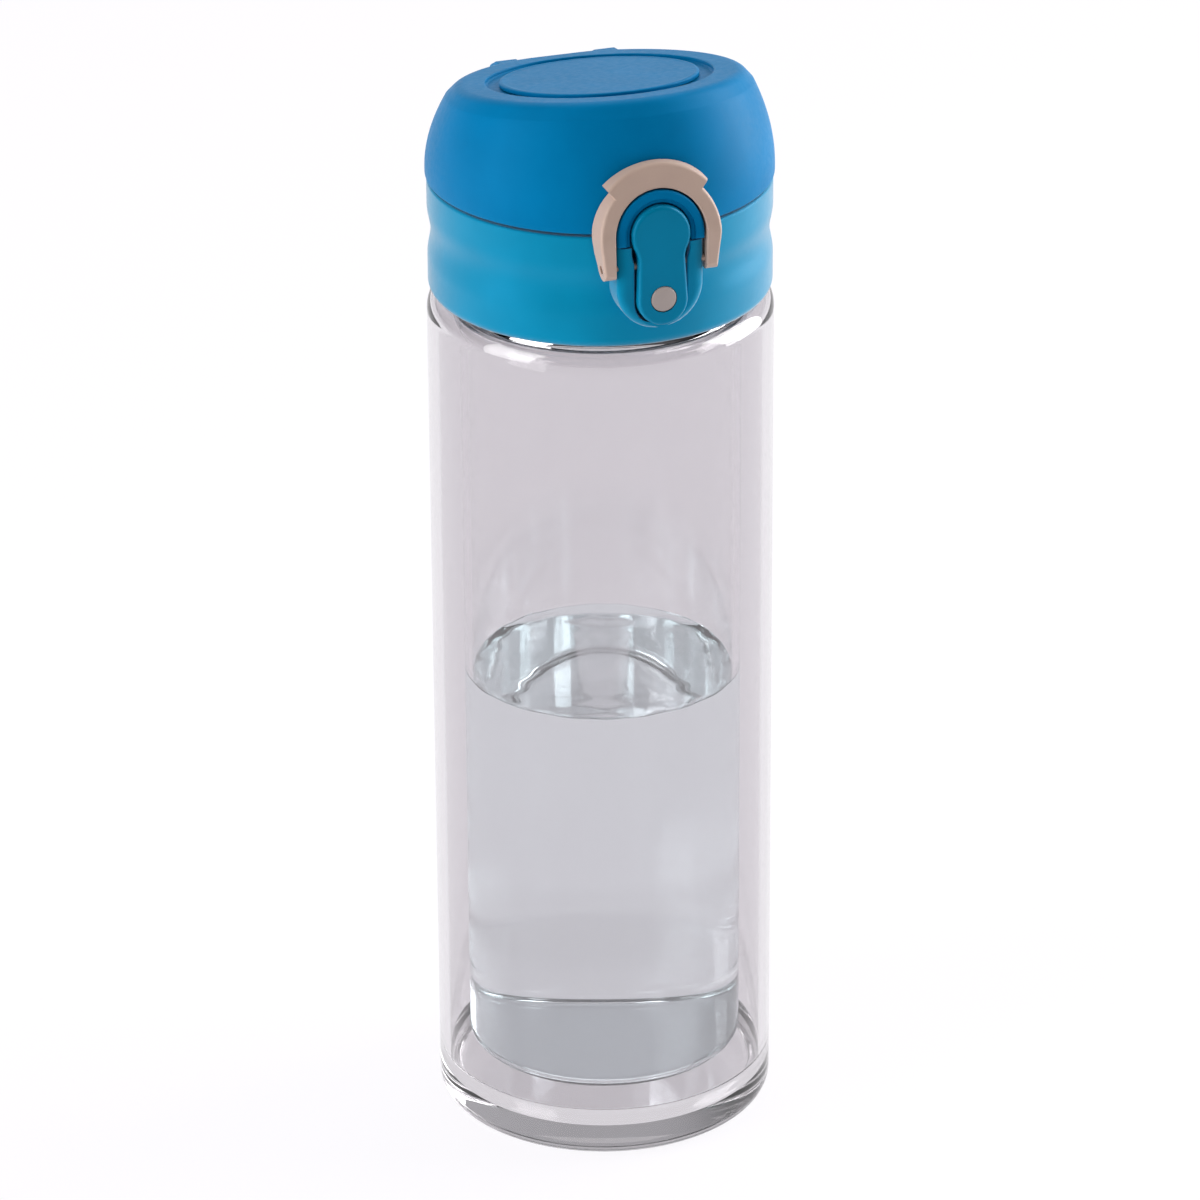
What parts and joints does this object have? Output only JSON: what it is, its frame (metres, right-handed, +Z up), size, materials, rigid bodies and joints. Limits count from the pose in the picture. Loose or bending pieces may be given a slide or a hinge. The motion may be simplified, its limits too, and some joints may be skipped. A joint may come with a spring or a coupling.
{
  "type": "double-wall flip-lid drinking bottle",
  "caption": "Clear double-wall drinking bottle with a screw collar, push-button flip lid, swing lock ring and sealed drinking spout.",
  "frame": {"origin": "centre of the flat base on which the bottle stands", "axes": "+Z up along the bottle's axis; -Y towards the latch, +Y towards the lid's hinge"},
  "size_m": [0.068, 0.0773, 0.226],
  "materials": {
    "clear_plastic": "clear, polished",
    "lid_blue": "satin",
    "collar_blue": "satin",
    "button_teal": "satin",
    "ring_beige": "satin",
    "cap_white": "smooth moulded",
    "seal_silicone": "soft silicone",
    "spring_steel": "bright wire"
  },
  "bodies": {
    "bottle": {"outer_shell": "clear_plastic", "base_plug": "clear_plastic", "inner_vessel": "clear_plastic"},
    "seal_carrier": {"neck_seal": "seal_silicone"},
    "cap": {"inner_cap": "cap_white", "mouthpiece_gasket": "seal_silicone", "mouthpiece": "collar_blue", "collar": "collar_blue", "hinge_pin": "spring_steel", "hinge_spring": "spring_steel", "latch_pin": "ring_beige", "button_spring": "spring_steel"},
    "flip_lid": {"lid_shell": "lid_blue", "lid_top_disc": "lid_blue", "lid_liner": "cap_white", "spout_plug": "seal_silicone", "vent_plug": "seal_silicone"},
    "push_button": {"latch_button": "button_teal", "press_dot": "ring_beige"},
    "safety_ring": {"lock_ring": "ring_beige"}
  },
  "joints": [
    {"name": "cap_rise", "type": "slide", "parent": "bottle", "child": "seal_carrier", "axis": [0, 0, 1], "range_m": [0, 0.0061]},
    {"name": "cap_turn", "type": "hinge", "parent": "seal_carrier", "child": "cap", "pos_m": [0, 0, 0.19], "axis": [0, 0, 1], "range_deg": [0, 540]},
    {"name": "lid_hinge", "type": "hinge", "parent": "cap", "child": "flip_lid", "pos_m": [0, 0.0346, 0.2055], "axis": [-1, 0, 0], "range_deg": [0, 120], "deforming": ["hinge_spring"]},
    {"name": "button_press", "type": "hinge", "parent": "cap", "child": "push_button", "pos_m": [0, -0.0359, 0.196], "axis": [1, 0, 0], "range_deg": [0, 8], "stiffness_Nm_per_rad": 0.15, "deforming": ["button_spring"]},
    {"name": "ring_swing", "type": "hinge", "parent": "cap", "child": "safety_ring", "pos_m": [0, -0.0359, 0.196], "axis": [1, 0, 0], "range_deg": [0, 115]}
  ],
  "couplings": [
    {"joint": "cap_rise", "follows": "cap_turn", "m_per_rad": 0.00063662}
  ]
}
